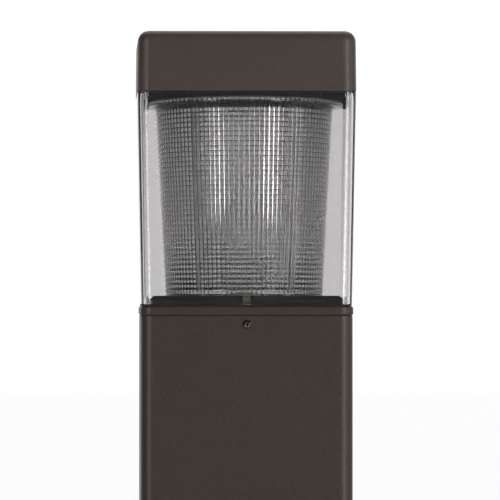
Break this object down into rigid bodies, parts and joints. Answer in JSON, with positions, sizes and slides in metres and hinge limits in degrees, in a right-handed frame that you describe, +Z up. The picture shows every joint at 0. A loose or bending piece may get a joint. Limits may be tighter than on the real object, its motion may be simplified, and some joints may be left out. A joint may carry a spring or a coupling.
{
  "type": "bollard light",
  "caption": "Square bronze bollard light: extruded post, lift-off head with a clear tapered lens, a round prismatic refractor and a flat cap, over a screw-base lamp and its gear.",
  "frame": {"origin": "on the ground, at the centre of the post's foot", "axes": "+Z up the post; -Y out of the front face, which has the lock screw; +X to the right seen from the front"},
  "size_m": [0.21, 0.21, 1.067],
  "materials": {
    "bronze_paint": "satin",
    "cast_base": "matte",
    "bronze_screw": "satin",
    "galvanised_sheet": "satin",
    "zinc_fixing": "satin",
    "stainless_fixing": "polished",
    "core_steel": "matte",
    "coil_primary": "satin",
    "coil_secondary": "satin",
    "can_aluminium": "satin",
    "tinned_brass": "satin",
    "brass": "satin",
    "black_plastic": "matte",
    "cream_plastic": "matte",
    "green_steel": "satin",
    "wire_black": "satin",
    "wire_blue": "satin",
    "wire_white": "satin",
    "wire_green": "satin",
    "wire_red": "satin",
    "porcelain": "gloss",
    "black_gasket": "matte",
    "grey_gasket": "matte",
    "clear_lens": "gloss",
    "prismatic_glass": "gloss",
    "black_paint": "satin",
    "lamp_glass": "gloss",
    "quartz": "gloss",
    "nickel_wire": "satin",
    "vitrite": "gloss"
  },
  "bodies": {
    "post": {"post_tube": "bronze_paint", "anchor_base": "cast_base", "base_screws": "bronze_screw", "gear_tray": "galvanised_sheet", "tray_foot_screws": "zinc_fixing", "ballast_core": "core_steel", "ballast_primary": "coil_primary", "ballast_secondary": "coil_secondary", "ballast_bolts": "zinc_fixing", "capacitor_can": "can_aluminium", "capacitor_terminals": "tinned_brass", "capacitor_clamp": "galvanised_sheet", "ignitor": "black_plastic", "terminal_block": "cream_plastic", "terminal_screws": "brass", "gear_fixings": "zinc_fixing", "ground_lug": "green_steel", "lead_supply": "wire_black", "lead_ballast": "wire_blue", "lead_ignitor": "wire_white", "lead_lamp_live": "wire_black", "lead_lamp_neutral": "wire_white", "lead_ground": "wire_green", "leads_capacitor": "wire_red", "lampholder_bracket": "galvanised_sheet", "bracket_screws": "zinc_fixing", "lampholder_body": "porcelain", "lampholder_shell": "brass", "lampholder_contact": "brass", "lampholder_screws": "brass", "lock_nuts": "zinc_fixing"},
    "head": {"collar": "bronze_paint", "seat_gasket": "black_gasket", "lens_gasket": "black_gasket", "outer_lens": "clear_lens", "optic_tray": "black_paint", "optic_tray_screws": "stainless_fixing", "refractor_foot_gasket": "grey_gasket", "refractor": "prismatic_glass", "refractor_top_gasket": "black_gasket", "top_plate": "black_paint", "tie_rods": "stainless_fixing", "rod_nuts_lower": "stainless_fixing", "rod_nuts_upper": "stainless_fixing", "rod_washers": "stainless_fixing", "cap_gasket": "black_gasket", "cap": "bronze_paint"},
    "lamp_button": {"lamp_contact": "tinned_brass"},
    "lamp": {"lamp_envelope": "lamp_glass", "lamp_arc_tube": "quartz", "lamp_frame": "nickel_wire", "lamp_stem": "lamp_glass", "lamp_base": "brass", "lamp_insulator": "vitrite"},
    "front_washer": {"lock_washer_front": "black_gasket"},
    "front_screw": {"lock_screw_front": "stainless_fixing"},
    "back_washer": {"lock_washer_back": "black_gasket"},
    "back_screw": {"lock_screw_back": "stainless_fixing"}
  },
  "joints": [
    {"name": "head_lift", "type": "slide", "parent": "post", "child": "head", "axis": [0, 0, 1], "range_m": [0, 0.25]},
    {"name": "front_washer_slide", "type": "slide", "parent": "post", "child": "front_washer", "axis": [0, -1, 0], "range_m": [0, 0.006]},
    {"name": "front_screw_turn", "type": "hinge", "parent": "front_washer", "child": "front_screw", "pos_m": [0, -0.1016, 0.7859], "axis": [0, -1, 0], "range_deg": [0, 2700]},
    {"name": "back_washer_slide", "type": "slide", "parent": "post", "child": "back_washer", "axis": [0, 1, 0], "range_m": [0, 0.006]},
    {"name": "back_screw_turn", "type": "hinge", "parent": "back_washer", "child": "back_screw", "pos_m": [0, 0.1016, 0.7859], "axis": [0, 1, 0], "range_deg": [0, 2700]},
    {"name": "lamp_rise", "type": "slide", "parent": "post", "child": "lamp_button", "axis": [0, 0, 1], "range_m": [0, 0.01814]},
    {"name": "lamp_turn", "type": "hinge", "parent": "lamp_button", "child": "lamp", "pos_m": [0, 0, 0.8], "axis": [0, 0, 1], "range_deg": [0, 1800]}
  ],
  "couplings": [
    {"joint": "front_screw_turn", "follows": "front_washer_slide", "rad_per_m": 7854},
    {"joint": "back_screw_turn", "follows": "back_washer_slide", "rad_per_m": 7854},
    {"joint": "lamp_turn", "follows": "lamp_rise", "rad_per_m": 1731.6}
  ]
}
